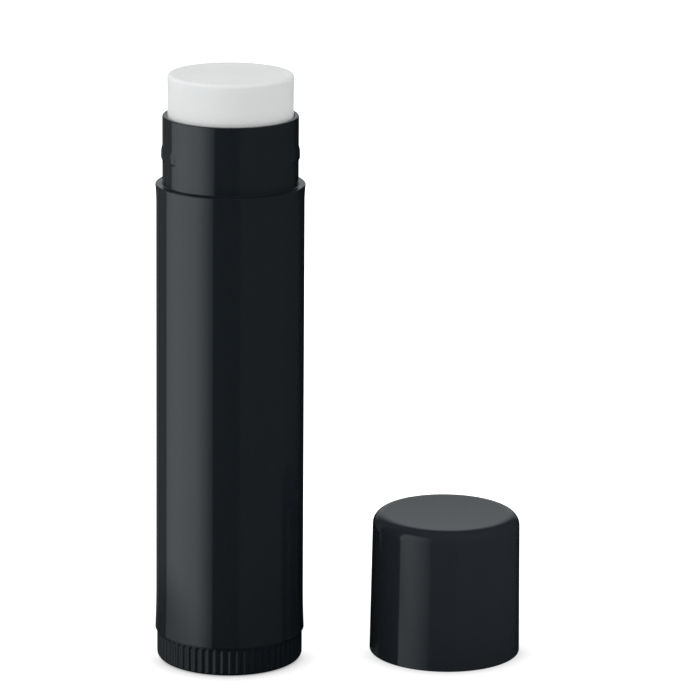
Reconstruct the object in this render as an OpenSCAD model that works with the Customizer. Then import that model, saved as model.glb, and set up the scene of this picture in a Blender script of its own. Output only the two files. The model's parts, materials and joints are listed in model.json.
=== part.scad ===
// Twist-up lip balm stick, standing open with its cap beside it.
// Millimetres, +Z up, origin in the middle of the thumb wheel's flat foot, on the stick's axis.
// The balm stands raised by balm_raise. Turning the wheel moves the balm between its two stops.

/* [Main sizes] */
// Diameter of the balm, which the barrel, wheel and cap are sized round
balm_d = 13.22; // [11:0.02:16]
// Height of the flat shoulder above the foot
shoulder_z = 52; // [42:0.5:66]
// How far the balm is raised from its lower stop
balm_raise = 5; // [0:0.5:20]
// How far the fully lowered balm's top lies below the neck's rim
balm_sunk = 0.6; // [0.2:0.1:2]

/* [Barrel] */
// Width of the ledge between the neck and the label panel
ledge_w = 0.68; // [0.5:0.02:1.2]
// How far the rim at the shoulder stands out from the label panel
shoulder_rim = 0.06; // [0.03:0.01:0.2]
// How far the rim at the barrel's lower end stands out from the label panel
foot_rim = 0.18; // [0.1:0.01:0.4]
// Length over which the panel flares out to the lower rim
foot_flare = 4.8; // [3:0.1:7]
// Length over which the panel flares out to the shoulder rim
shoulder_flare = 1.9; // [1:0.1:4]

/* [Neck] */
// Thickness of the neck's wall
neck_wall = 0.48; // [0.4:0.02:0.9]
// Height of the neck above the shoulder
neck_h = 7.4; // [6:0.1:9]
// Height of a snap lug's middle above the shoulder
lug_z = 3.55; // [2.8:0.05:4.5]
// Height of a snap lug
lug_h = 1.66; // [1.2:0.02:2]
// How far a snap lug stands proud of the neck
lug_proud = 0.13; // [0.08:0.01:0.18]
// Angle that each of the two snap lugs spans, in degrees
lug_span = 60; // [30:1:80]
// Angle from +X to the middle of the first lug, in degrees
lug_turn = 4; // [-10:1:10]

/* [Cap] */
// Outside height of the cap
cap_h = 15.3; // [14:0.1:20]
// Thickness of the cap's wall at its mouth
cap_wall = 0.92; // [0.8:0.02:1.4]
// How much the cap's outside radius shrinks from the mouth to the top
cap_taper = 0.22; // [0:0.02:0.3]
// Radius of the cap's rounded top edge
cap_edge_r = 1; // [0.5:0.05:1.4]
// Thickness of the cap's flat top
cap_roof = 1.15; // [0.8:0.05:1.6]
// Gap between the barrel and the cap that stands beside it
cap_gap = 7.16; // [2:0.02:12]
// How far the loose cap's axis lies behind the stick's
cap_back = 2.55; // [0:0.05:5]

/* [Thumb wheel] */
// How far the wheel's ribs lie inside the barrel's lower rim
wheel_inset = 0.17; // [0.05:0.01:0.3]
// Height of the wheel below the barrel
wheel_h = 3.03; // [2.4:0.01:4.2]
// Number of grooves round the wheel
groove_count = 60; // [24:1:72]
// Radius of one groove, which is cut centred on the wheel's edge
groove_r = 0.2; // [0.12:0.01:0.25]
// Depth of the recess under the wheel
recess_depth = 0.4; // [0.2:0.05:0.6]
// Width of the flat ring that the stick stands on, at the outer edge
foot_ring_w = 1.1; // [0.8:0.05:1.6]
// Height of the boss that is snapped into the barrel, above the wheel
boss_h = 5.9; // [4.5:0.1:7.5]

/* [Screw] */
// Lift of the balm for one turn of the wheel
screw_pitch = 3; // [2.4:0.1:4]
// Radius of the spindle's round section
screw_r = 2; // [1.8:0.05:2.2]
// How far that round section winds off the axis, which makes the thread
screw_throw = 0.4; // [0.3:0.02:0.5]
// How far the thread's upper end lies below the shoulder
screw_sunk = 2; // [1:0.5:6]
// Length of the plain tip above the thread
screw_tip = 0.8; // [0.4:0.1:1.5]
// Width of the square foot that keys the spindle into the wheel
key_w = 3.4; // [2.8:0.1:3.8]

/* [Elevator] */
// Thickness of the elevator cup's wall
cup_wall = 0.8; // [0.6:0.05:1.2]
// Height of the elevator cup's wall above its floor
cup_h = 5; // [3.5:0.1:7]
// Thickness of the elevator cup's floor
cup_floor = 1; // [0.8:0.05:1.5]
// Height of the guide skirt below the elevator cup's floor
skirt_h = 4; // [3:0.1:5]
// Length of the threaded sleeve below the elevator cup's floor
nut_h = 5; // [4:0.1:6]
// Thickness of that sleeve's wall outside the thread
nut_wall = 1.14; // [0.8:0.02:1.4]

/* [Guide ribs] */
// Number of guide ribs in the barrel's bore
rib_count = 4; // [2:1:6]
// Width of a guide rib
rib_w = 0.8; // [0.6:0.05:1.2]
// How far a guide rib stands into the bore
rib_h = 0.35; // [0.25:0.01:0.45]

/* [Clearances] */
// Radial sliding clearance of the balm in the barrel's bore
balm_fit = 0.05; // [0.03:0.01:0.1]
// Radial sliding clearance of the elevator cup in the barrel's bore
cup_fit = 0.08; // [0.05:0.01:0.12]
// Gap between the wheel and the barrel's lower end
wheel_gap = 0.15; // [0.1:0.01:0.3]
// Radial running clearance of the boss in the barrel
boss_fit = 0.06; // [0.02:0.01:0.1]
// Radial clearance of the cap's bore round the neck
cap_fit = 0.08; // [0.05:0.01:0.12]
// Clearance between the spindle's thread and the elevator's thread
thread_fit = 0.16; // [0.12:0.01:0.25]
// Clearance of the guide ribs in their notches and in the balm's grooves
rib_fit = 0.12; // [0.08:0.01:0.2]
// Clearance of the balm's channel round the spindle
channel_fit = 0.3; // [0.2:0.05:0.5]
// End clearance between pieces that turn past each other
end_gap = 0.3; // [0.2:0.05:0.5]

/* [Hidden] */
$fn = 96;
eps = 0.01;

// Radii, from the balm outwards
balm_r = balm_d / 2;
bore_r = balm_r + balm_fit;
neck_r = bore_r + neck_wall;
panel_r = neck_r + ledge_w;
shoulder_r = panel_r + shoulder_rim;
foot_rim_r = panel_r + foot_rim;
wheel_r = foot_rim_r - wheel_inset;

// Levels up the stick
barrel_z = wheel_h + wheel_gap;
neck_z = shoulder_z + neck_h;
boss_z = wheel_h + boss_h;
rib_z = boss_z + end_gap;
edge_r = 0.15;
lug_root = 0.1;

// The snap joint: a ring inside the barrel sits in a groove round the boss
snap_up = 2.2;
snap_z = barrel_z + snap_up;
snap_ring_r = 0.35;
snap_fit = 0.12;
snap_groove_r = snap_ring_r + snap_fit;

// The wheel and the square socket that holds the spindle's foot
wheel_edge_r = 0.3;
wheel_floor = 1;
boss_wall = 1;
boss_r = bore_r - boss_fit;
socket_wall = 0.9;
socket_r = key_w / sqrt(2) + socket_wall;
socket_z = recess_depth + wheel_floor;
socket_h = 4.6;
foot_ring_r = wheel_r - wheel_edge_r - foot_ring_w;

// The spindle's collar rests on the socket's rim
collar_z = socket_z + socket_h;
collar_inset = 0.1;
collar_r = socket_r - collar_inset;
collar_h = 0.8;
thread_z = collar_z + collar_h;
screw_top_z = shoulder_z - screw_sunk;
thread_h = screw_top_z - thread_z;
crest_r = screw_r + screw_throw;
thread_points = 12;
slices_per_turn = 12;

// The elevator, at rest balm_raise above its lower stop. There the skirt stands just above the boss
// and the sleeve just above the collar, whichever comes first.
floor_low_z = max(thread_z + end_gap + nut_h, rib_z + skirt_h);
floor_z = floor_low_z + balm_raise;
nut_z = floor_z - nut_h;
cup_z = floor_z + cup_floor;
cup_rim_z = cup_z + cup_h;
skirt_z = floor_z - skirt_h;
cup_r = bore_r - cup_fit;
cup_inner_r = cup_r - cup_wall;
nut_r = crest_r + thread_fit + nut_wall;
fin_count = 4;
fin_w = 0.7;
fin_h = 0.9;
fin_len = 3;

// The guide ribs end where the raised elevator's skirt still holds them
rib_sunk = 1.5;
rib_top_z = shoulder_z - rib_sunk;
rib_root = 0.2;

// The balm
balm_top_z = neck_z - balm_sunk + balm_raise;
balm_edge_r = 0.25;
channel_r = crest_r + channel_fit;
channel_room = 1;
channel_top_z = screw_top_z + screw_tip + balm_raise + channel_room;
groove_top_z = rib_top_z + balm_raise + rib_fit;

// The cap
cap_bore_r = neck_r + cap_fit;
cap_mouth_r = cap_bore_r + cap_wall;
cap_top_r = cap_mouth_r - cap_taper;
cap_x = foot_rim_r + cap_gap + cap_mouth_r;
cap_bore_h = cap_h - cap_roof;
cap_lead = 0.3;
cap_mouth_edge_r = 0.2;
snap_groove_depth = 0.23;
snap_groove_arc = lug_h / 2 + 0.05;

plastic = [0.09, 0.1, 0.105];
natural = [0.86, 0.86, 0.83];
wax = [0.93, 0.93, 0.9];

// A flat ring section from r0 to r1 and z0 to z1 in the plane of a turned profile
module band(r0, r1, z0, z1) {
  translate([r0, z0])
    square([r1 - r0, z1 - z0]);
}

// What a round outer corner leaves over: the square corner less its quarter circle.
// The corner's tip is at [x, y], and [sx, sy] points from the tip into the material.
module corner_waste(x, y, r, sx, sy) {
  difference() {
    translate([x + min(sx * r, 0) - (sx < 0 ? 0 : eps), y + min(sy * r, 0) - (sy < 0 ? 0 : eps)])
      square([r + eps, r + eps]);
    translate([x + sx * r, y + sy * r])
      circle(r);
  }
}

// A flare: the sliver between a straight wall of radius r and a rim that stands out by d over height h.
// The arc starts flush with the wall at z and reaches the rim at z + h, or at z - h if h is negative.
module flare(r, d, z, h) {
  big_r = (d * d + h * h) / (2 * d);
  difference() {
    translate([r - eps, min(z, z + h)])
      square([d + eps, abs(h)]);
    translate([r + big_r, z])
      circle(big_r, $fn = 360);
  }
}

// The barrel's guide ribs as long blocks, grown by grow on every side
module guide_blocks(z0, z1, grow) {
  for (i = [0 : rib_count - 1])
    rotate([0, 0, 45 + i * 360 / rib_count])
      translate([bore_r - rib_h - grow, -rib_w / 2 - grow, z0])
        cube([rib_h + grow + rib_root, rib_w + 2 * grow, z1 - z0]);
}

module snap_lugs() {
  bulge_r = (pow(lug_h / 2, 2) + pow(lug_proud, 2)) / (2 * lug_proud);
  for (side = [0, 180])
    rotate([0, 0, lug_turn + side])
      rotate_extrude(angle = lug_span, start = -lug_span / 2)
        intersection() {
          translate([neck_r + lug_proud - bulge_r, shoulder_z + lug_z])
            circle(bulge_r, $fn = 180);
          band(neck_r - lug_root, neck_r + lug_h, shoulder_z, neck_z);
        }
}

module barrel_profile() {
  difference() {
    union() {
      band(bore_r, panel_r, barrel_z, shoulder_z);
      band(bore_r, neck_r, barrel_z, neck_z);
      flare(panel_r, foot_rim, barrel_z + foot_flare, -foot_flare);
      flare(panel_r, shoulder_rim, shoulder_z - shoulder_flare, shoulder_flare);
      translate([bore_r, snap_z])
        circle(snap_ring_r);
    }
    corner_waste(shoulder_r, shoulder_z, edge_r, -1, -1);
    corner_waste(neck_r, neck_z, edge_r, -1, -1);
    corner_waste(bore_r, neck_z, edge_r, 1, -1);
    corner_waste(foot_rim_r, barrel_z, edge_r / 2, -1, 1);
    corner_waste(bore_r, barrel_z, 2 * edge_r, 1, 1);
  }
}

module barrel() {
  color(plastic)
    union() {
      rotate_extrude()
        barrel_profile();
      snap_lugs();
      guide_blocks(rib_z, rib_top_z, 0);
    }
}

module wheel_profile() {
  difference() {
    union() {
      band(0, wheel_r, 0, wheel_h);
      band(0, boss_r, 0, boss_z);
    }
    // Foot recess
    band(-1, foot_ring_r, -1, recess_depth);
    // Hollow of the boss round the socket
    band(socket_r, boss_r - boss_wall, socket_z, boss_z + 1);
    // Room for the collar above the socket
    band(-1, socket_r + eps, collar_z, boss_z + 1);
    // Groove for the barrel's snap ring
    translate([boss_r + boss_fit, snap_z])
      circle(snap_groove_r);
    corner_waste(wheel_r, 0, wheel_edge_r, -1, 1);
    corner_waste(wheel_r, wheel_h, edge_r, -1, -1);
    corner_waste(boss_r, boss_z, 2 * edge_r, -1, -1);
  }
}

// The square foot of the spindle, up from the bottom of its socket
module spindle_key(h) {
  translate([-key_w / 2, -key_w / 2, socket_z])
    cube([key_w, key_w, h]);
}

module base_knob() {
  color(plastic)
    difference() {
      rotate_extrude()
        wheel_profile();
      spindle_key(socket_h + 1);
      for (i = [0 : groove_count - 1])
        rotate([0, 0, i * 360 / groove_count])
          translate([wheel_r, 0, -1])
            cylinder(r = groove_r, h = wheel_h + 2);
    }
}

// The thread's solid: a round section that winds about the axis, left-handed, grown by grow.
// It starts at z0 in step with the whole thread, which is in step with z = 0.
module thread(z0, h, grow) {
  translate([0, 0, z0])
    rotate([0, 0, -360 * z0 / screw_pitch])
      linear_extrude(
        height = h,
        twist = 360 * h / screw_pitch,
        slices = ceil(slices_per_turn * h / screw_pitch),
        $fn = thread_points
      )
        translate([screw_throw, 0])
          circle(r = screw_r + grow);
}

module screw_spindle() {
  color(natural) {
    spindle_key(socket_h);
    translate([0, 0, collar_z])
      cylinder(r = collar_r, h = collar_h);
    thread(thread_z - eps, thread_h + eps, 0);
    translate([0, 0, screw_top_z - eps])
      cylinder(r = screw_r - screw_throw, h = screw_tip + eps);
  }
}

// Fins inside the cup that the balm is cast round, so that it can't turn or pull out
module grip_fins() {
  for (i = [0 : fin_count - 1])
    rotate([0, 0, i * 360 / fin_count])
      translate([cup_inner_r - fin_h, -fin_w / 2, cup_z])
        cube([fin_h + cup_wall / 2, fin_w, fin_len]);
}

module elevator_cup() {
  color(natural)
    difference() {
      union() {
        rotate_extrude() {
          difference() {
            band(0, cup_r, skirt_z, cup_rim_z);
            band(-1, cup_inner_r, cup_z, cup_rim_z + 1);
            band(nut_r, cup_inner_r, skirt_z - 1, floor_z);
            corner_waste(cup_r, skirt_z, edge_r, -1, 1);
          }
          band(0, nut_r, nut_z, floor_z);
        }
        grip_fins();
      }
      thread(nut_z - 1, nut_h + cup_floor + 2, thread_fit);
      guide_blocks(skirt_z - 1, cup_rim_z + 1, rib_fit);
    }
}

module balm() {
  color(wax)
    difference() {
      rotate_extrude()
        difference() {
          union() {
            band(0, cup_inner_r, cup_z, cup_rim_z + eps);
            band(0, balm_r, cup_rim_z, balm_top_z);
          }
          band(-1, channel_r, cup_z - 1, channel_top_z);
          corner_waste(balm_r, balm_top_z, balm_edge_r, -1, -1);
        }
      guide_blocks(cup_rim_z - 1, groove_top_z, rib_fit);
      grip_fins();
    }
}

module cap() {
  color(plastic)
    translate([cap_x, cap_back, 0])
      rotate_extrude()
        difference() {
          union() {
            polygon([
              [0, 0],
              [cap_mouth_r, 0],
              [cap_top_r, cap_h - cap_edge_r],
              [0, cap_h - cap_edge_r]
            ]);
            band(0, cap_top_r - cap_edge_r, cap_h - 2 * cap_edge_r, cap_h);
            translate([cap_top_r - cap_edge_r, cap_h - cap_edge_r])
              circle(cap_edge_r);
          }
          band(-1, cap_bore_r, -1, cap_bore_h);
          // Lead-in at the mouth
          polygon([
            [cap_bore_r - eps, -eps],
            [cap_bore_r + cap_lead, -eps],
            [cap_bore_r - eps, cap_lead]
          ]);
          corner_waste(cap_mouth_r, 0, cap_mouth_edge_r, -1, 1);
          // Snap groove that the neck's lugs click into when the cap is on
          intersection() {
            translate([cap_bore_r + snap_groove_depth - snap_groove_arc, lug_z])
              circle(snap_groove_arc);
            band(cap_bore_r - eps, cap_bore_r + 1, 0, cap_h);
          }
        }
}

barrel();
base_knob();
screw_spindle();
elevator_cup();
balm();
cap();
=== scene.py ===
# %% [markdown]
# A twist-up lip balm stick, open, with its cap standing beside it. The imported model is loaded first as a
# fixed frame, in metres. Every shape below sits where that frame says, so nothing has to be fitted by
# eye. The box of the imported model is kept.

import json
import math

import bmesh
import bpy
from mathutils import Matrix, Vector


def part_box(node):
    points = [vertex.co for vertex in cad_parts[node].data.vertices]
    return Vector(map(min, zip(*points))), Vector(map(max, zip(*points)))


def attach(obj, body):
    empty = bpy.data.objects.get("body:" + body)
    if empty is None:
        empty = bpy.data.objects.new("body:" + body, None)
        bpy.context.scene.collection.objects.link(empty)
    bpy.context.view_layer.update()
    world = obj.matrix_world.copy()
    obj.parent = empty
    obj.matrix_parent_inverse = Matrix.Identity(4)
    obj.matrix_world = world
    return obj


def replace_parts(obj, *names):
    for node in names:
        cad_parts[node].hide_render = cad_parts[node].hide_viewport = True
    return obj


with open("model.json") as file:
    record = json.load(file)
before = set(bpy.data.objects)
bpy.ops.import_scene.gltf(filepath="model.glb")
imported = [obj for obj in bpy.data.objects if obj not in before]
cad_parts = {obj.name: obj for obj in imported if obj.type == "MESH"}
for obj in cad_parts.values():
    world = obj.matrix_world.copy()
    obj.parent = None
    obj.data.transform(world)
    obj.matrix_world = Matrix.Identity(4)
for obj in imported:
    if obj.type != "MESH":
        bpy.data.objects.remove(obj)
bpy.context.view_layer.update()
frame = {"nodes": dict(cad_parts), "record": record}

# %% [markdown]
# Sizes are written in millimetres and turned to metres where a mesh is made. The levels and radii that
# the frame already holds are read from it: the lowest and highest corner of each node, and the radii of
# the mounts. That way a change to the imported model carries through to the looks.

# %% Sizes from the frame
MM = 0.001
scene = bpy.context.scene


def level(node, end):
    """A node's lowest (0) or highest (1) level in millimetres."""
    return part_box(node)[end].z / MM


def radius(node):
    """Half of a node's width along X in millimetres."""
    low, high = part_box(node)
    return (high.x - low.x) / 2 / MM


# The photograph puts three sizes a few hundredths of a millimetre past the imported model.
NECK_WIDER, FOOT_RIM_WIDER, CAP_HIGHER = 0.03, 0.02, 0.04

mounts = {m["name"]: m for m in frame["record"]["mounts"]}
neck_r = mounts["neck"]["dims"]["r_mm"] + NECK_WIDER
panel_r = mounts["label_panel"]["dims"]["r_mm"]
cap_bore_r = mounts["cap_socket"]["dims"]["r_mm"]
cap_axis = Vector(mounts["cap_socket"]["pos_m"]) / MM
barrel_low, barrel_high = level("barrel", 0), level("barrel", 1)
balm_low, balm_high = level("balm", 0), level("balm", 1)
balm_r = radius("balm")
foot_rim_r = radius("barrel") + FOOT_RIM_WIDER
wheel_r = 7.82
cap_h = level("cap", 1) + CAP_HIGHER
cap_mouth_r = radius("cap")
print("neck", neck_r, "panel", panel_r, "balm", round(balm_r, 3), "cap", round(cap_h, 2))

# %% [markdown]
# The camera comes first, because everything else is judged through it. It is a long lens from nearly half
# a metre away, looking down a little under fifteen degrees. The picture leans by half a degree, which is
# a roll about the camera's own axis. A focal length in pixels turns into a lens in millimetres on a 36 mm
# sensor.

# %% Camera
PICTURE_PX = 700
FOCAL_PX = 4142.7
SENSOR_MM = 36
camera_place = Vector((12.73, -425.9, 145.0)) * MM
camera_pitch = math.radians(14.60)
camera_roll = math.radians(0.554)

camera = bpy.data.objects.new("camera", bpy.data.cameras.new("camera"))
camera.data.sensor_width = SENSOR_MM
camera.data.lens = FOCAL_PX * SENSOR_MM / PICTURE_PX
camera.data.clip_start = 0.01
camera.data.clip_end = 20
look = Matrix.Rotation(math.pi / 2 - camera_pitch, 4, "X") @ Matrix.Rotation(camera_roll, 4, "Z")
camera.matrix_world = Matrix.Translation(camera_place) @ look
scene.collection.objects.link(camera)
scene.camera = camera
scene.view_settings.view_transform = "Standard"
print("lens", round(camera.data.lens, 1), "mm")

# %% [markdown]
# One small function adds a node to any tree, with its settings and its links. A value that is a socket is
# linked, and anything else is written on the input. Arithmetic and smooth steps come up so often that
# each has a short form. Colours are written as the hex values that a designer would read off a screen,
# and one function turns them to the linear light that the renderer works in.


# %% Node and colour helpers
def add(tree, kind, inputs=None, **settings):
    """Adds a node. inputs maps an input's name or number to a value or to the socket that feeds it."""
    made = tree.nodes.new(kind)
    for key, value in settings.items():
        setattr(made, key, value)
    for key, value in (inputs or {}).items():
        if isinstance(value, bpy.types.NodeSocket):
            tree.links.new(value, made.inputs[key])
        else:
            made.inputs[key].default_value = value
    return made


def maths(tree, operation, *values, **settings):
    """Adds one step of arithmetic on numbers or sockets, and gives its result."""
    made = add(tree, "ShaderNodeMath", dict(enumerate(values)), operation=operation, **settings)
    return made.outputs[0]


def smooth_step(tree, value, start, end, low=0.0, high=1.0):
    """Runs smoothly from low, where the value is at start, to high, where it is at end."""
    made = add(
        tree,
        "ShaderNodeMapRange",
        {"Value": value, "From Min": start, "From Max": end, "To Min": low, "To Max": high},
        interpolation_type="SMOOTHSTEP",
    )
    return made.outputs["Result"]


def linear(hex_colour, alpha=1.0):
    """An sRGB hex colour such as "#8a8f92" as linear red, green, blue and alpha."""
    parts = [int(hex_colour[i : i + 2], 16) / 255 for i in (1, 3, 5)]
    return [c / 12.92 if c <= 0.04045 else ((c + 0.055) / 1.055) ** 2.4 for c in parts] + [alpha]


def new_material(name):
    """An empty material and its tree, with an output and a principled shader joined up."""
    material = bpy.data.materials.new(name)
    material.use_nodes = True
    tree = material.node_tree
    tree.nodes.clear()
    shader = add(tree, "ShaderNodeBsdfPrincipled")
    add(tree, "ShaderNodeOutputMaterial", {"Surface": shader.outputs["BSDF"]})
    return material, tree, shader


# %% [markdown]
# The black parts are injection-moulded polypropylene from a polished tool. It is nearly black with a
# faint cool tint, and almost all that the eye sees is what it mirrors. Plastic has an index of refraction
# near 1.5, so it mirrors 4 per cent straight on and far more at the edges. A polished tool still leaves
# slow waves of a few millimetres, from the plastic's flow and shrinkage, and these bend the reflections
# very slightly. Handling leaves a faint haze, so the roughness drifts a little over the surface. The cap
# mirrors less than the barrel, and its colour is painted lighter, as painted light. The ribbed wheel is
# the least polished of the three, and its colour is painted darker, as painted shade.


# %% Black polished polypropylene
def moulded_black(name, colour, roughness, haze, wave_mm, wave_height_mm, gloss=0.5):
    """Polished black plastic: waves of wave_mm across and wave_height_mm deep, and a drifting haze."""
    material, tree, shader = new_material(name)
    shader.inputs["Base Color"].default_value = linear(colour)
    shader.inputs["IOR"].default_value = 1.5
    shader.inputs["Specular IOR Level"].default_value = gloss
    place = add(tree, "ShaderNodeTexCoord").outputs["Object"]
    waves = add(
        tree,
        "ShaderNodeTexNoise",
        {"Vector": place, "Scale": 1 / (wave_mm * MM), "Detail": 1.0, "Roughness": 0.4},
    )
    bump = add(
        tree,
        "ShaderNodeBump",
        {"Height": waves.outputs["Fac"], "Distance": wave_height_mm * MM, "Strength": 1.0},
    )
    tree.links.new(bump.outputs["Normal"], shader.inputs["Normal"])
    smears = add(
        tree,
        "ShaderNodeTexNoise",
        {"Vector": place, "Scale": 1 / (9 * MM), "Detail": 5.0, "Roughness": 0.6},
    )
    drift = add(
        tree,
        "ShaderNodeMapRange",
        {"Value": smears.outputs["Fac"], "From Min": 0.35, "From Max": 0.75,
         "To Min": roughness, "To Max": roughness + haze},
    )
    tree.links.new(drift.outputs["Result"], shader.inputs["Roughness"])
    return material


barrel_plastic = moulded_black("black_polypropylene_polished", "#191e22", 0.07, 0.05, 5.0, 0.0012)
# The cap's colour is painted lighter than the barrel's, as painted light, and it mirrors less.
cap_plastic_painted_light = moulded_black("black_polypropylene_cap_painted_light", "#272b30", 0.08, 0.05, 5.0, 0.0012, gloss=0.27)
# The wheel's colour is painted darker than the barrel's, as painted shade.
wheel_plastic_painted_shade = moulded_black("black_polypropylene_ribbed_painted_shade", "#0e171e", 0.36, 0.06, 3.0, 0.001, gloss=0.42)
print("made", barrel_plastic.name, cap_plastic_painted_light.name, "and", wheel_plastic_painted_shade.name)

# %% [markdown]
# The spindle and the elevator are the same polymer with no colour in it: milky, slightly yellow and
# satin, because their tool isn't polished. Light goes a little way in, which subsurface scattering gives.

# %% Natural polypropylene
natural_plastic, tree, shader = new_material("natural_polypropylene_as_moulded")
shader.inputs["Base Color"].default_value = linear("#e4e2d6")
shader.inputs["IOR"].default_value = 1.49
shader.inputs["Subsurface Weight"].default_value = 0.4
shader.inputs["Subsurface Radius"].default_value = (0.0016, 0.0014, 0.0012)
shader.inputs["Subsurface Scale"].default_value = 1.0
place = add(tree, "ShaderNodeTexCoord").outputs["Object"]
flow = add(tree, "ShaderNodeTexNoise", {"Vector": place, "Scale": 1 / (1.5 * MM), "Detail": 3.0})
satin = add(
    tree,
    "ShaderNodeMapRange",
    {"Value": flow.outputs["Fac"], "To Min": 0.38, "To Max": 0.5},
)
tree.links.new(satin.outputs["Result"], shader.inputs["Roughness"])
for name in ("screw_spindle", "elevator_cup"):
    for slot in frame["nodes"][name].material_slots:
        slot.material = natural_plastic
print("given", natural_plastic.name)

# %% [markdown]
# The balm is white wax poured hot into the tube. Wax lets light some way in, so it looks soft and its
# edges glow a little. Its skin is satin. Sliding up the bore draws very fine lines along it, and the
# poured top has a slow, shallow unevenness.

# %% White wax balm
wax, tree, shader = new_material("white_wax_balm_poured")
shader.inputs["IOR"].default_value = 1.44
shader.inputs["Specular IOR Level"].default_value = 0.35
shader.inputs["Subsurface Weight"].default_value = 0.6
shader.inputs["Subsurface Radius"].default_value = (0.0005, 0.0005, 0.0005)
shader.inputs["Subsurface Scale"].default_value = 1.0
place = add(tree, "ShaderNodeTexCoord").outputs["Object"]
cloud = add(
    tree, "ShaderNodeTexNoise", {"Vector": place, "Scale": 1 / (4 * MM), "Detail": 4.0, "Roughness": 0.55}
)
tint = add(
    tree,
    "ShaderNodeMix",
    {"Factor": cloud.outputs["Fac"], 6: linear("#e9ebeb"), 7: linear("#eff1f1")},
    data_type="RGBA",
)
tree.links.new(tint.outputs[2], shader.inputs["Base Color"])
stretched = add(
    tree, "ShaderNodeMapping", {"Vector": place, "Scale": (1 / (0.25 * MM), 1 / (0.25 * MM), 1 / (6 * MM))}
)
lines = add(
    tree, "ShaderNodeTexNoise", {"Vector": stretched.outputs["Vector"], "Scale": 1.0, "Detail": 2.0}
)
swell = add(tree, "ShaderNodeTexNoise", {"Vector": place, "Scale": 1 / (3.5 * MM), "Detail": 2.0})
fine = add(
    tree, "ShaderNodeBump", {"Height": lines.outputs["Fac"], "Distance": 0.01 * MM, "Strength": 0.6}
)
soft = add(
    tree,
    "ShaderNodeBump",
    {"Height": swell.outputs["Fac"], "Distance": 0.1 * MM, "Strength": 0.6,
     "Normal": fine.outputs["Normal"]},
)
tree.links.new(soft.outputs["Normal"], shader.inputs["Normal"])
sheen = add(
    tree,
    "ShaderNodeMapRange",
    {"Value": cloud.outputs["Fac"], "From Min": 0.3, "From Max": 0.7, "To Min": 0.5, "To Max": 0.62},
)
tree.links.new(sheen.outputs["Result"], shader.inputs["Roughness"])
print("made", wax.name)

# %% [markdown]
# Every visible piece is round, so each one is an outline turned about the axis, as a lathe would cut it.
# The outline is a list of corners, and each corner can carry the radius that the mould gives it. A round
# corner is a true arc. A guard point close to each end of an arc keeps its shading from spreading over
# the flat beside it, which matters on a surface that mirrors.

# %% Outlines with round corners
GUARD = 0.04


def arc(centre_r, centre_z, size, start, end, steps):
    """Points on an arc, in degrees from +R towards +Z."""
    angles = [math.radians(start + (end - start) * i / steps) for i in range(steps + 1)]
    return [(centre_r + size * math.cos(a), centre_z + size * math.sin(a)) for a in angles]


def rounded(corners, steps=8):
    """Turns corners (r, z, radius) into points. Radius 0 leaves a corner sharp."""
    points = []
    last = len(corners) - 1
    for i, (r, z, size) in enumerate(corners):
        if not size or i in (0, last):
            points.append((r, z))
            continue
        here = Vector((r, z))
        back = Vector(corners[i - 1][:2]) - here
        ahead = Vector(corners[i + 1][:2]) - here
        half = back.angle(ahead) / 2
        reach = size / math.tan(half)
        centre = here + (back.normalized() + ahead.normalized()).normalized() * (size / math.sin(half))
        start = here + back.normalized() * reach - centre
        end = here + ahead.normalized() * reach - centre
        if back.length > reach + 2 * GUARD:
            points.append(tuple(here + back.normalized() * (reach + GUARD)))
        turn = start.angle_signed(end)
        for k in range(steps + 1):
            spoke = start.copy()
            spoke.rotate(Matrix.Rotation(-turn * k / steps, 2))
            points.append(tuple(centre + spoke))
        if ahead.length > reach + 2 * GUARD:
            points.append(tuple(here + ahead.normalized() * (reach + GUARD)))
    return points


def turned(name, points, segments, material, ring=True, axis=(0, 0)):
    """Turns an outline about the vertical line at axis. A ring's outline closes on itself."""
    mesh_data = bmesh.new()
    rows = []
    for r, z in points:
        if r < 1e-6:
            rows.append([mesh_data.verts.new((axis[0] * MM, axis[1] * MM, z * MM))])
            continue
        row = []
        for k in range(segments):
            a = 2 * math.pi * k / segments
            x = axis[0] + r * math.cos(a)
            y = axis[1] + r * math.sin(a)
            row.append(mesh_data.verts.new((x * MM, y * MM, z * MM)))
        rows.append(row)
    pairs = list(zip(rows, rows[1:] + rows[:1])) if ring else list(zip(rows, rows[1:]))
    for low, high in pairs:
        for k in range(segments):
            n = (k + 1) % segments
            around = [low[k % len(low)], low[n % len(low)], high[n % len(high)], high[k % len(high)]]
            corner_list = list(dict.fromkeys(around))
            if len(corner_list) > 2:
                mesh_data.faces.new(corner_list)
    bmesh.ops.recalc_face_normals(mesh_data, faces=mesh_data.faces)
    mesh = bpy.data.meshes.new(name)
    mesh_data.to_mesh(mesh)
    mesh_data.free()
    mesh.polygons.foreach_set("use_smooth", [True] * len(mesh.polygons))
    mesh.set_sharp_from_angle(angle=math.radians(40))
    mesh.materials.append(material)
    piece = bpy.data.objects.new(name, mesh)
    scene.collection.objects.link(piece)
    print(name, len(points), "outline points,", len(mesh.polygons), "faces")
    return piece


def plain_mesh(piece):
    """Turns a piece's live modifiers into its own plain mesh, and removes them."""
    bpy.context.view_layer.update()
    seen = piece.evaluated_get(bpy.context.evaluated_depsgraph_get())
    mesh = bpy.data.meshes.new_from_object(seen)
    piece.modifiers.clear()
    old = piece.data
    piece.data = mesh
    bpy.data.meshes.remove(old)
    mesh.name = piece.name
    return piece


# %% [markdown]
# The barrel is a thin tube with three outside diameters: the neck, a flat ledge, and the long label
# panel, which is bare here. The panel widens by a tenth of a millimetre towards the foot, so that it
# leaves the mould, and flares out a little more at both ends. Both flares are arcs. The outline runs up
# the outside and back down the bore, where a ring snaps over the wheel's boss. Close rows on the neck's
# wall carry the two lugs.

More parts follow.
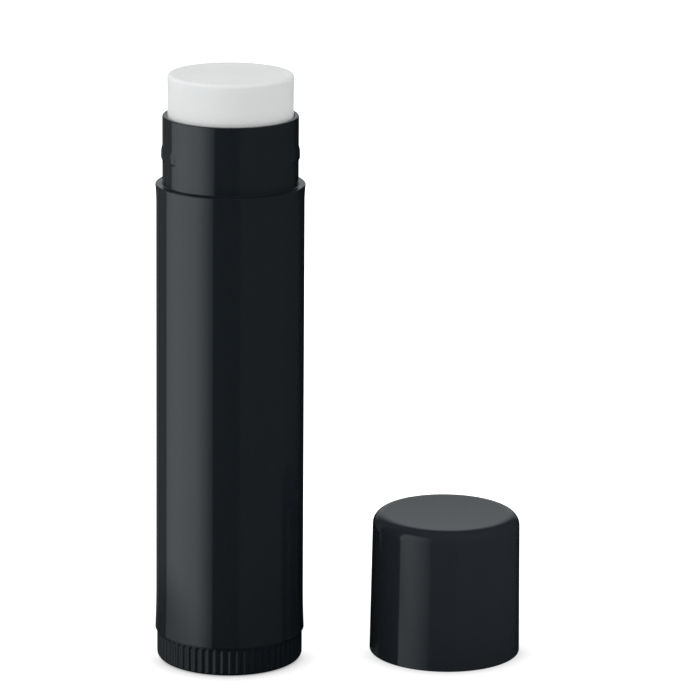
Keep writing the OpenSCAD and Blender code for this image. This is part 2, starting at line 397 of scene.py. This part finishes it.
# %% Barrel outline
BARREL_SEGMENTS = 512
shoulder_z = 52.12
shoulder_r = 7.93
foot_flare, shoulder_flare = 4.8, 1.9
draft = 0.085
edge = 0.15
bore_r = balm_r + 0.05
snap_ring_r = 0.35
snap_z = barrel_low + 2.2


def flare(wall_r, stands_out, flush_z, rim_z, steps=10):
    """Points of an arc that leaves a wall flush at flush_z and stands out at rim_z."""
    height = abs(rim_z - flush_z)
    bend = (stands_out**2 + height**2) / (2 * stands_out)
    levels = [flush_z + (rim_z - flush_z) * k / steps for k in range(steps + 1)]
    return [(wall_r + bend - math.sqrt(bend**2 - (z - flush_z) ** 2), z) for z in levels]


panel_foot_r = panel_r + draft
lower = flare(panel_foot_r, foot_rim_r - panel_foot_r, barrel_low + foot_flare, barrel_low)[::-1]
upper = flare(panel_r, shoulder_r - panel_r, shoulder_z - shoulder_flare, shoulder_z)
lower_edge = rounded([(bore_r, barrel_low, 0), (foot_rim_r, barrel_low, 0.05), (*lower[1], 0)])[1:-1]
shoulder_edge = rounded([(*upper[-2], 0), (shoulder_r, shoulder_z, 0.13), (neck_r, shoulder_z, 0)])[1:-1]
neck_foot = rounded(
    [(shoulder_r, shoulder_z, 0), (neck_r, shoulder_z, 0.2), (neck_r, shoulder_z + 2, 0)]
)[1:-1]
first_row, row_step, row_count = 2.46, 0.04, 41
neck_rows = [(neck_r, shoulder_z + first_row + row_step * k) for k in range(row_count)]
mouth = rounded(
    [
        (neck_r, shoulder_z + 6, 0),
        (neck_r, barrel_high, edge),
        (bore_r, barrel_high, edge),
        (bore_r, barrel_high - 2, 0),
    ]
)[1:-1]
ring = arc(bore_r, snap_z, snap_ring_r, 90, 270, 12)
lead_in = [(bore_r, barrel_low + 0.3), (bore_r + 0.3, barrel_low)]
barrel_outline = lower_edge + lower[1:] + upper[:-1] + shoulder_edge + neck_foot + neck_rows
barrel_outline += mouth + ring + lead_in
barrel = turned("barrel_tube", barrel_outline, BARREL_SEGMENTS, barrel_plastic)

# %% [markdown]
# Some shapes follow a rule, so Geometry Nodes make them. Each tree has named inputs for its sizes, and it
# ends in real geometry with its material set. A tree runs once, and the plain mesh that it leaves is
# kept.


# %% Geometry Nodes helpers
def new_tree(name, floats, ints=()):
    """An empty geometry tree: geometry in and out, a material, and the named numbers as inputs."""
    tree = bpy.data.node_groups.new(name, "GeometryNodeTree")
    inputs = [("Geometry", "NodeSocketGeometry"), ("Material", "NodeSocketMaterial")]
    inputs += [(label, "NodeSocketInt") for label in ints]
    inputs += [(label, "NodeSocketFloat") for label in floats]
    for label, kind in inputs:
        tree.interface.new_socket(label, in_out="INPUT", socket_type=kind)
    tree.interface.new_socket("Geometry", in_out="OUTPUT", socket_type="NodeSocketGeometry")
    return tree, add(tree, "NodeGroupInput").outputs


def around_axis(tree):
    """A point's level, its outward direction, its distance from the axis and its angle round it."""
    place = add(tree, "GeometryNodeInputPosition").outputs[0]
    split = add(tree, "ShaderNodeSeparateXYZ", {0: place}).outputs
    flat = add(tree, "ShaderNodeCombineXYZ", {"X": split["X"], "Y": split["Y"]}).outputs[0]
    outwards = add(tree, "ShaderNodeVectorMath", {0: flat}, operation="NORMALIZE").outputs[0]
    distance = add(tree, "ShaderNodeVectorMath", {0: flat}, operation="LENGTH").outputs["Value"]
    return split["Z"], outwards, distance, maths(tree, "ARCTAN2", split["Y"], split["X"])


def finish_tree(tree, given, geometry):
    """Ends a tree in real geometry with the given material on it."""
    solid = add(tree, "GeometryNodeRealizeInstances", {"Geometry": geometry}).outputs[0]
    inputs = {"Geometry": solid, "Material": given["Material"]}
    finished = add(tree, "GeometryNodeSetMaterial", inputs)
    add(tree, "NodeGroupOutput", {0: finished.outputs[0]})


def run_tree(piece, tree, values):
    """Runs a tree on a piece, with its inputs set by identifier, and keeps the plain result."""
    modifier = piece.modifiers.new(tree.name, "NODES")
    modifier.node_group = tree
    for item in tree.interface.items_tree:
        if item.item_type == "SOCKET" and item.in_out == "INPUT" and item.name in values:
            modifier[item.identifier] = values[item.name]
    return plain_mesh(piece)


# %% [markdown]
# Two low lugs on the neck click into a groove in the cap. A point on the neck's wall moves outwards by a
# bulge, with a soft curve above and a steeper flank below. The bulge stops short at the ends of the lug's
# arc, and those ends slant a little. One tree raises both lugs, because the angle is wrapped every half
# turn.

# %% Snap lugs by Geometry Nodes
END_FADE = math.radians(0.8)
END_SLANT = math.radians(1.2)
UPPER_CURVE = 2.5
FLANK_FOOT, FLANK_TOP = -1.0, -0.6

lug_tree, given = new_tree(
    "raise_snap_lugs", ["Level", "Half height", "Proud", "Half span", "Turn", "Wall radius"]
)
up, outwards, distance, angle = around_axis(lug_tree)
lug_angle = maths(lug_tree, "SUBTRACT", angle, given["Turn"])
from_lug = maths(lug_tree, "WRAP", lug_angle, math.pi / 2, -math.pi / 2)
off_centre = maths(lug_tree, "ABSOLUTE", from_lug)
rise = maths(lug_tree, "SUBTRACT", up, given["Level"])
part = maths(lug_tree, "DIVIDE", rise, given["Half height"])
slanted = maths(lug_tree, "MULTIPLY_ADD", part, END_SLANT, off_centre)
fade_end = maths(lug_tree, "SUBTRACT", given["Half span"], END_FADE)
span_mask = smooth_step(lug_tree, slanted, given["Half span"], fade_end)
above = maths(lug_tree, "MAXIMUM", part, 0.0)
upper_flank = maths(lug_tree, "POWER", above, UPPER_CURVE)
bulge = maths(lug_tree, "SUBTRACT", 1.0, upper_flank, use_clamp=True)
lower_flank = smooth_step(lug_tree, part, FLANK_FOOT, FLANK_TOP, high=given["Proud"])
lift = maths(lug_tree, "MULTIPLY", bulge, lower_flank)
masked = maths(lug_tree, "MULTIPLY", lift, span_mask)
push = add(lug_tree, "ShaderNodeVectorMath", {0: outwards, "Scale": masked}, operation="SCALE")
off_wall = add(
    lug_tree, "FunctionNodeCompare", {0: distance, 1: given["Wall radius"]}, operation="GREATER_THAN"
)
moved = add(
    lug_tree,
    "GeometryNodeSetPosition",
    {"Geometry": given["Geometry"], "Selection": off_wall.outputs[0], "Offset": push.outputs[0]},
)
finish_tree(lug_tree, given, moved.outputs[0])

run_tree(
    barrel,
    lug_tree,
    {
        "Level": (shoulder_z + 3.26) * MM,
        "Half height": 0.74 * MM,
        "Proud": 0.13 * MM,
        "Half span": math.radians(32.3),
        "Turn": math.radians(6),
        "Wall radius": (neck_r - 0.01) * MM,
        "Material": barrel_plastic,
    },
)
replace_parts(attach(barrel, "barrel"), "barrel")
print("barrel", len(barrel.data.polygons), "faces with its lugs")

# %% [markdown]
# The thumb wheel closes the lower end, with only a hair's gap under the barrel. Its foot is a flat ring
# round a shallow recess, and a boss above it snaps into the barrel. Round its edge run sixty soft grooves
# that leave ribs between them for grip. A point outside a groove's floor is drawn in to that floor.
# Drawing in, and not subtracting, lets each groove run out by itself where the foot's edge rounds off.

# %% Thumb wheel outline
RIBS = 60
POINTS_PER_RIB = 12
wheel_h = 3.14
boss_r = bore_r - 0.06
recess = 0.4
floor_top = 1.4
boss_top = level("base_knob", 1)
boss_ring_r = 0.47
foot_ring_r = wheel_r - 0.3 - 1.1
socket_r, key_corner_r, socket_top = 3.3, 2.41, 6.0
wheel_outline = rounded(
    [
        (0, recess, 0),
        (foot_ring_r, recess, 0.1),
        (foot_ring_r, 0, 0.08),
        (wheel_r, 0, 0.5),
        (wheel_r, wheel_h - 0.7, 0),
    ]
)
wheel_outline += [(wheel_r, wheel_h - 0.65 + 0.06 * k) for k in range(10)]
wheel_outline += rounded(
    [
        (wheel_r, wheel_h - 0.1, 0),
        (wheel_r, wheel_h, 0.03),
        (boss_r, wheel_h, 0),
        (boss_r, snap_z - boss_ring_r, 0),
    ]
)
wheel_outline += arc(bore_r, snap_z, boss_ring_r, 263, 97, 10)
wheel_outline += rounded(
    [
        (boss_r, snap_z + boss_ring_r, 0),
        (boss_r, boss_top, 0.3),
        (boss_r - 1, boss_top, 0.1),
        (boss_r - 1, floor_top, 0.2),
        (socket_r, floor_top, 0.2),
        (socket_r, socket_top, 0.1),
        (key_corner_r, socket_top, 0),
        (key_corner_r, floor_top, 0),
        (0, floor_top, 0),
    ]
)
wheel = turned("thumb_wheel", wheel_outline, RIBS * POINTS_PER_RIB, wheel_plastic_painted_shade, ring=False)

# %% Grip ribs by Geometry Nodes
FLOOR_SHARE = 0.15

rib_tree, given = new_tree(
    "cut_grip_grooves",
    ["Ribs", "Crest radius", "Groove half width", "Groove depth", "Groove top", "Run out"],
)
up, outwards, distance, angle = around_axis(rib_tree)
rib_turn = maths(rib_tree, "DIVIDE", 2 * math.pi, given["Ribs"])
half_turn = maths(rib_tree, "MULTIPLY", rib_turn, 0.5)
minus_half = maths(rib_tree, "MULTIPLY", half_turn, -1.0)
off_groove = maths(rib_tree, "WRAP", angle, half_turn, minus_half)
off_centre = maths(rib_tree, "ABSOLUTE", off_groove)
across = maths(rib_tree, "MULTIPLY", off_centre, given["Crest radius"])
groove_floor = maths(rib_tree, "MULTIPLY", given["Groove half width"], FLOOR_SHARE)
full_depth = maths(rib_tree, "SUBTRACT", given["Groove top"], given["Run out"])
depth = smooth_step(rib_tree, up, given["Groove top"], full_depth, high=given["Groove depth"])
groove = smooth_step(rib_tree, across, given["Groove half width"], groove_floor, high=depth)
limit = maths(rib_tree, "SUBTRACT", given["Crest radius"], groove)
outside = maths(rib_tree, "SUBTRACT", distance, limit)
draw_in = maths(rib_tree, "MAXIMUM", outside, 0.0)
inwards = maths(rib_tree, "MULTIPLY", draw_in, -1.0)
pull = add(rib_tree, "ShaderNodeVectorMath", {0: outwards, "Scale": inwards}, operation="SCALE")
moved = add(
    rib_tree, "GeometryNodeSetPosition", {"Geometry": given["Geometry"], "Offset": pull.outputs[0]}
)
finish_tree(rib_tree, given, moved.outputs[0])

run_tree(
    wheel,
    rib_tree,
    {
        "Ribs": float(RIBS),
        "Crest radius": wheel_r * MM,
        "Groove half width": 0.35 * MM,
        "Groove depth": 0.13 * MM,
        "Groove top": (wheel_h - 0.08) * MM,
        "Run out": 0.4 * MM,
        "Material": wheel_plastic_painted_shade,
    },
)
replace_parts(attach(wheel, "twist_base"), "base_knob")
print("wheel", len(wheel.data.polygons), "faces with its ribs")

# %% [markdown]
# Four long ribs inside the barrel keep the elevator from turning, and the balm has a groove for each. One
# block is given, and a second small tree repeats it round the axis. The same tree makes the
# cutters that a boolean takes out of the balm, a little larger all round than the ribs.

# %% Blocks repeated round the axis
round_tree, given = new_tree("repeat_round_axis", ["First turn"], ints=["Count"])
spots = add(round_tree, "GeometryNodePoints", {"Count": given["Count"]})
index = add(round_tree, "GeometryNodeInputIndex").outputs[0]
step = maths(round_tree, "DIVIDE", 2 * math.pi, given["Count"])
turn = maths(round_tree, "MULTIPLY_ADD", index, step, given["First turn"])
spin = add(round_tree, "ShaderNodeCombineXYZ", {"Z": turn})
copies = add(
    round_tree,
    "GeometryNodeInstanceOnPoints",
    {"Points": spots.outputs[0], "Instance": given["Geometry"], "Rotation": spin.outputs[0]},
)
finish_tree(round_tree, given, copies.outputs[0])


def blocks(name, inner_r, outer_r, width, low, high, material):
    """Four upright blocks at 45 degrees to the axes, from inner_r to outer_r."""
    mesh = bpy.data.meshes.new(name)
    mesh_data = bmesh.new()
    bmesh.ops.create_cube(mesh_data, size=1)
    for v in mesh_data.verts:
        v.co.x = (inner_r + outer_r + v.co.x * 2 * (outer_r - inner_r)) / 2 * MM
        v.co.y = v.co.y * width * MM
        v.co.z = (low + high + v.co.z * 2 * (high - low)) / 2 * MM
    mesh_data.to_mesh(mesh)
    mesh_data.free()
    piece = bpy.data.objects.new(name, mesh)
    scene.collection.objects.link(piece)
    return run_tree(piece, round_tree, {"Count": 4, "First turn": math.pi / 4, "Material": material})


rib_in, rib_width, rib_low, rib_high = 0.35, 0.8, boss_top + 0.3, shoulder_z - 1.5
guide_ribs = blocks(
    "guide_ribs", bore_r - rib_in, bore_r + 0.2, rib_width, rib_low, rib_high, barrel_plastic
)
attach(guide_ribs, "barrel")
print("guide ribs", len(guide_ribs.data.polygons), "faces")

# %% [markdown]
# The balm is one cast plug: a cylinder that stands on the elevator's rim, with a thinner foot inside its
# cup and a channel up the middle for the spindle. Its top was poured, so it has a soft lip and a very
# shallow dish where the wax shrank as it set.

# %% Wax plug
BALM_SEGMENTS = 256
rib_gap = 0.12
cup_rim_z = level("elevator_cup", 1)
cup_inner_r = bore_r - 0.08 - 0.8
channel_r, channel_top = 2.7, 56.8
dish_depth, dish_r = 0.06, 5.6
lip = 0.34
dish = []
for k in range(14):
    r = dish_r * k / 13
    dish.append((r, balm_high - dish_depth * (1 - (r / dish_r) ** 2) ** 2))
body = rounded(
    [
        (dish_r, balm_high, 0),
        (balm_r + 0.04, balm_high, lip),
        (balm_r, balm_high - 2.4, 0),
        (balm_r, cup_rim_z, 0),
        (cup_inner_r, cup_rim_z, 0),
        (cup_inner_r, balm_low, 0),
        (channel_r, balm_low, 0),
        (channel_r, channel_top, 0),
        (0, channel_top, 0),
    ]
)
balm = turned("wax_balm", dish + body[1:], BALM_SEGMENTS, wax, ring=False)
cutters = blocks(
    "groove_cutters",
    bore_r - rib_in - rib_gap,
    bore_r + 0.5,
    rib_width + 2 * rib_gap,
    cup_rim_z - 1,
    rib_high + 5 + rib_gap,
    wax,
)
cut = balm.modifiers.new("guide_grooves", "BOOLEAN")
cut.operation = "DIFFERENCE"
cut.solver = "EXACT"
cut.object = cutters
plain_mesh(balm)
bpy.data.objects.remove(cutters)
balm.data.set_sharp_from_angle(angle=math.radians(35))
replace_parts(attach(balm, "carriage"), "balm")
print("balm", len(balm.data.polygons), "faces with its grooves")

# %% [markdown]
# The cap stands mouth down. Its wall leans in by a fraction of a millimetre towards the top, so that it
# leaves the mould, and a round of 1.3 mm joins the wall to the top. The top sinks towards its middle by
# less than a tenth of a millimetre, as thick plastic does when it cools. Inside are the lead-in at the
# mouth and the shallow groove that the neck's lugs click into.

# %% Cap
CAP_SEGMENTS = 384
cap_taper = 0.22
cap_round = 1.3
cap_dish = 0.07
cap_roof_z = cap_h - 1.15
groove_mid, groove_deep, groove_bend = 3.55, 0.23, 0.88
groove_centre = cap_bore_r + groove_deep - groove_bend
groove_half = math.degrees(math.acos((cap_bore_r - groove_centre) / groove_bend))
dish_edge_r = cap_mouth_r - cap_taper - cap_round
cap_top = [(dish_edge_r * k / 12, cap_h + cap_dish * (k / 12) ** 2) for k in range(12)]
outside = cap_top + rounded(
    [
        (dish_edge_r - 0.1, cap_h + cap_dish - 0.002, 0),
        (cap_mouth_r - cap_taper, cap_h + cap_dish, cap_round),
        (cap_mouth_r, 0, 0.08),
        (cap_bore_r + 0.3, 0, 0.05),
        (cap_bore_r, 0.3, 0),
    ],
    steps=16,
)
inside = rounded(
    [
        (cap_bore_r, groove_mid + 2, 0),
        (cap_bore_r, cap_roof_z, 0.3),
        (0, cap_roof_z, 0),
    ]
)
snap_groove = arc(groove_centre, groove_mid, groove_bend, -groove_half, groove_half, 8)
cap = turned(
    "loose_cap",
    outside + snap_groove + inside[1:],
    CAP_SEGMENTS,
    cap_plastic_painted_light,
    ring=False,
    axis=(cap_axis.x, cap_axis.y),
)
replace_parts(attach(cap, "cap"), "cap")

# %% [markdown]
# The floor and the studio are painted by position and by direction. Three short functions help, and each
# works in the tree that is being built at the time.


# %% Painting helpers
def ramp(value, dark, bright, low=0.0, high=1.0):
    """A smooth step in the current tree: low at dark and high at bright."""
    return smooth_step(tree, value, dark, bright, low, high)


def product(values):
    """Several sockets or numbers multiplied together, in the current tree."""
    total = values[0]
    for value in values[1:]:
        total = maths(tree, "MULTIPLY", total, value)
    return total


def seen_directly(paths):
    """1 for rays that reach the camera straight or through something clear, and 0 for the rest."""
    return maths(tree, "ADD", paths["Is Camera Ray"], paths["Is Transmission Ray"], use_clamp=True)


# %% [markdown]
# The floor is a plain pale sheet with a polished face. To the camera it glows as white paper does, apart
# from a narrow contact shadow painted into the glow in front of each piece. Its matt side lights the
# pieces from below, and shade is painted into its colour between them, where they hold the light off it.
# Mirror rays bounce off it and up to the studio's cards, so a reflected stick runs on below the table as
# it does on a real glossy one. That mirror has shade painted into its colour near the pieces and at the
# left of the stick's foot, and it is painted black behind them, where it would draw bright rims.

# %% Floor
floor_mesh = bpy.data.meshes.new("floor")
floor_mesh.from_pydata([(-4, -4, 0), (4, -4, 0), (4, 4, 0), (-4, 4, 0)], [], [(0, 1, 2, 3)])
floor = bpy.data.objects.new("floor", floor_mesh)
scene.collection.objects.link(floor)
paper = bpy.data.materials.new("white_gloss_sheet")
paper.use_nodes = True
tree = paper.node_tree
tree.nodes.clear()
paths = add(tree, "ShaderNodeLightPath").outputs
coordinates = add(tree, "ShaderNodeTexCoord").outputs["Object"]
spot = add(tree, "ShaderNodeSeparateXYZ", {0: coordinates}).outputs
across, deep = spot["X"], spot["Y"]

# The glow that the camera sees, with a contact shadow painted into it in front
contact = add(
    tree, "ShaderNodeAmbientOcclusion", {"Distance": 3.6 * MM, "Normal": (0, 0.9, 0.44)}, samples=16
)
closeness = add(
    tree, "ShaderNodeMapRange", {"Value": contact.outputs["AO"], "From Min": 1.0, "From Max": 0.38}
)
shade = maths(tree, "POWER", closeness.outputs["Result"], 1.7)
forward = maths(tree, "MULTIPLY_ADD", across, -0.11, deep)
in_front = product([shade, ramp(forward, 2 * MM, -3.5 * MM)])
glow = add(tree, "ShaderNodeMapRange", {"Value": in_front, "To Min": 1.0, "To Max": 0.43})
strength = product([glow.outputs["Result"], seen_directly(paths)])
light = add(tree, "ShaderNodeEmission", {"Strength": strength})

# The matt sheet, with shade painted into its colour where the pieces hold the light off
held_off = add(tree, "ShaderNodeAmbientOcclusion", {"Distance": 80 * MM}, samples=16).outputs["AO"]
dimmed = add(
    tree, "ShaderNodeMapRange",
    {"Value": held_off, "From Min": 0.77, "From Max": 1.0, "To Min": 0.2, "To Max": 1.0},
).outputs["Result"]
sheet_painted_shade = add(tree, "ShaderNodeCombineColor", {"Red": dimmed, "Green": dimmed, "Blue": dimmed})
matt_colour = add(
    tree, "ShaderNodeMix", {"Factor": 1.0, 6: sheet_painted_shade.outputs[0], 7: (0.8, 0.8, 0.8, 1)},
    data_type="RGBA", blend_type="MULTIPLY",
)
matt = add(tree, "ShaderNodeBsdfDiffuse", {"Color": matt_colour.outputs[2]})

# The polished face, with painted shade near the pieces and at the foot's left, painted black in the sector
# behind them
mirror_painted_shade = add(
    tree, "ShaderNodeMapRange",
    {"Value": held_off, "From Min": 0.77, "From Max": 1.0, "To Min": 0.78, "To Max": 1.0},
).outputs["Result"]
foot = add(tree, "ShaderNodeVectorMath", {0: coordinates, 1: (-18 * MM, 2 * MM, 0)}, operation="DISTANCE")
painted_shade_by_the_foot = ramp(foot.outputs["Value"], 4 * MM, 28 * MM, 0.5, 1.0)
left_bearing = maths(tree, "ARCTAN2", maths(tree, "ADD", across, 8 * MM), deep)
right_bearing = maths(tree, "ARCTAN2", maths(tree, "SUBTRACT", across, 31 * MM), deep)
behind_both = product([
    ramp(deep, 0.0, 3 * MM),
    ramp(left_bearing, math.radians(-30), math.radians(-18)),
    ramp(right_bearing, math.radians(40), math.radians(25)),
])
# The mirror's colour is painted black in the sector behind the pieces.
polish = maths(tree, "SUBTRACT", 1.0, behind_both)
mirror = product([mirror_painted_shade, painted_shade_by_the_foot, polish])
gloss = add(tree, "ShaderNodeBsdfAnisotropic", {"Color": mirror, "Roughness": 0.05})
both = add(tree, "ShaderNodeAddShader", {0: light.outputs[0], 1: matt.outputs[0]})
sheet = add(
    tree, "ShaderNodeMixShader", {0: paths["Is Glossy Ray"], 1: both.outputs[0], 2: gloss.outputs[0]}
)
add(tree, "ShaderNodeOutputMaterial", {"Surface": sheet.outputs[0]})
floor_mesh.materials.append(paper)
print("floor", paper.name)

# %% [markdown]
# Polished black plastic shows little but what it mirrors, so the studio's cards make the picture. A tall
# soft box stands at the left, brightest in its middle and cut off hard at both edges, with a dim wall
# beyond it. A dim card fills the right. Behind stands a grey backdrop, which the flat tops mirror. The
# rest of the room is nearly dark. The cards are painted in the world by direction, for mirror rays only:
# the azimuth is counted from the viewer round to the right, and the elevation from the horizon. Matt
# surfaces get an even, soft white.

# %% Studio cards in the world
world = bpy.data.worlds.new("studio")
scene.world = world
world.use_nodes = True
tree = world.node_tree
tree.nodes.clear()
sky = add(tree, "ShaderNodeTexCoord").outputs["Generated"]
direction = add(tree, "ShaderNodeSeparateXYZ", {0: sky}).outputs
towards_viewer = maths(tree, "MULTIPLY", direction["Y"], -1.0)
round_about = maths(tree, "DEGREES", maths(tree, "ARCTAN2", direction["X"], towards_viewer))
upwards = maths(tree, "DEGREES", maths(tree, "ARCSINE", direction["Z"]))
off_front = maths(tree, "ABSOLUTE", round_about)
backdrop_band = [ramp(upwards, -14, 12), ramp(upwards, 52, 26), 0.50]
cards = [
    # The soft box at the left
    product([ramp(round_about, -150, -76), ramp(round_about, -12, -60), ramp(round_about, -24.8, -26),
             ramp(round_about, -117.2, -115.2), ramp(upwards, 50, 30), 1.44]),
    # The dim wall beyond it
    product([ramp(round_about, -165, -122), ramp(round_about, -115, -117), 0.13]),
    # The dim card at the right
    product([ramp(round_about, 16, 18), ramp(round_about, 135, 70), 0.06]),
    # The backdrop's two halves
    product([ramp(round_about, -143, -172)] + backdrop_band),
    product([ramp(round_about, 150, 172)] + backdrop_band),
    # What little the rest of the room gives
    product([ramp(off_front, 150, 125), 0.028]),
]
mirrored = cards[0]
for card in cards[1:]:
    mirrored = maths(tree, "ADD", mirrored, card)
card_light = add(tree, "ShaderNodeBackground", {"Color": (0.93, 1.0, 1.02, 1), "Strength": mirrored})
even_light = add(tree, "ShaderNodeBackground", {"Color": (1, 1, 1, 1), "Strength": 0.745})
white = add(tree, "ShaderNodeBackground", {"Color": (1, 1, 1, 1), "Strength": 1.0})
paths = add(tree, "ShaderNodeLightPath").outputs
either = add(
    tree, "ShaderNodeMixShader",
    {0: paths["Is Glossy Ray"], 1: even_light.outputs[0], 2: card_light.outputs[0]},
)
all_rays = add(
    tree, "ShaderNodeMixShader", {0: seen_directly(paths), 1: either.outputs[0], 2: white.outputs[0]}
)
add(tree, "ShaderNodeOutputWorld", {"Surface": all_rays.outputs[0]})
print("world", len(cards), "cards")

# %% [markdown]
# A large soft lamp at the left and a weaker one at the right give the white balm its shape. They are left
# out of mirror rays, because the cards in the world already stand for them there.


# %% Lamps
def soft_lamp(name, place, size, energy):
    """A square lamp in metres and watts that faces the stick and isn't seen in reflections."""
    data = bpy.data.lights.new(name, "AREA")
    data.shape = "SQUARE"
    data.size = size
    data.energy = energy
    lamp = bpy.data.objects.new(name, data)
    aim = (-place).to_track_quat("-Z", "Y").to_matrix().to_4x4()
    lamp.matrix_world = Matrix.Translation(place) @ aim
    lamp.visible_glossy = False
    scene.collection.objects.link(lamp)
    return lamp


soft_lamp("key_lamp", Vector((-0.602, -0.219, 0.501)), 0.5, 1.71)
soft_lamp("fill_lamp", Vector((0.55, -0.55, 0.2)), 0.5, 0.38)
